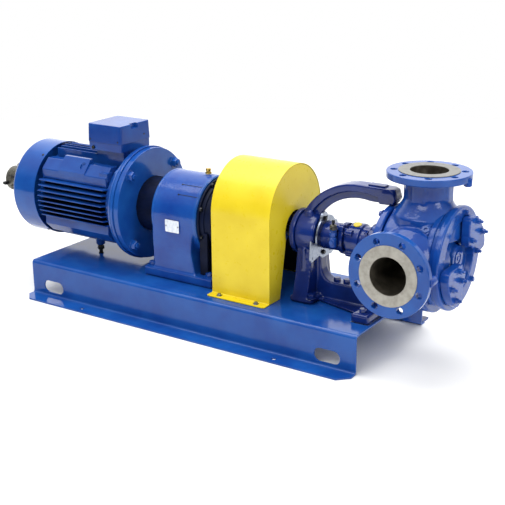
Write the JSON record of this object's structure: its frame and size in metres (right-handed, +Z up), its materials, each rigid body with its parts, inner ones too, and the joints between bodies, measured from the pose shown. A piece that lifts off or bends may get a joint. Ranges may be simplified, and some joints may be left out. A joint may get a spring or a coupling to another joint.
{
  "type": "gear pump unit with motor",
  "caption": "Internal gear pump with flanged ports on top and front, driven through a guarded coupling by a geared electric motor on a bent sheet base.",
  "frame": {"origin": "bottom centre of the bounding box, on the floor under the middle of the unit", "axes": "+X along the drive line from the motor to the pump, +Y to the back, away from the front port, +Z up"},
  "size_m": [1.639, 0.51, 0.536],
  "materials": {
    "blue_paint": "glossy blue enamel over cast iron, aluminium and sheet steel",
    "navy_paint": "glossy navy enamel over cast iron",
    "yellow_paint": "semi-gloss yellow safety enamel over sheet steel",
    "black_steel": "blackened steel and black plastic",
    "bright_steel": "turned bright steel",
    "zinc_plate": "zinc-plated sheet steel",
    "brass": "turned brass",
    "rubber": "matt black moulded rubber",
    "label_metal": "satin aluminium plate, left blank"
  },
  "bodies": {
    "unit": {"base_frame": "blue_paint", "motor_frame": "blue_paint", "motor_flange": "blue_paint", "fan_cowl": "blue_paint", "terminal_box": "blue_paint", "terminal_box_lid": "blue_paint", "gearbox_housing": "blue_paint", "flush_fitting": "blue_paint", "rear_cover": "blue_paint", "pump_casing": "blue_paint", "casing_foot": "blue_paint", "front_cover": "blue_paint", "jacket_cover_upper": "blue_paint", "jacket_cover_lower": "blue_paint", "gearbox_adapter": "blue_paint", "gearbox_output_cover": "blue_paint", "bearing_bracket": "navy_paint", "bearing_cover": "navy_paint", "gland_follower": "navy_paint", "seal_housing": "navy_paint", "guard_shell": "yellow_paint", "guard_end_gearbox": "yellow_paint", "guard_end_pump": "yellow_paint", "motor_jack_bolt": "black_steel", "cable_entry_plug_rear": "black_steel", "cable_entry_plug_front": "black_steel", "rear_encoder": "bright_steel", "gearbox_oil_plug": "bright_steel", "adjusting_plate": "zinc_plate", "breather_plug": "brass", "gearbox_nameplate": "label_metal"},
    "drive_line": {"gearbox_output_shaft": "bright_steel", "coupling_hub_gearbox": "blue_paint", "coupling_spider": "rubber", "coupling_hub_pump": "blue_paint", "pump_shaft": "bright_steel"}
  },
  "joints": [
    {"name": "shaft_spin", "type": "hinge", "parent": "unit", "child": "drive_line", "pos_m": [0.1915, 0, 0.296], "axis": [1, 0, 0], "continuous": true}
  ]
}
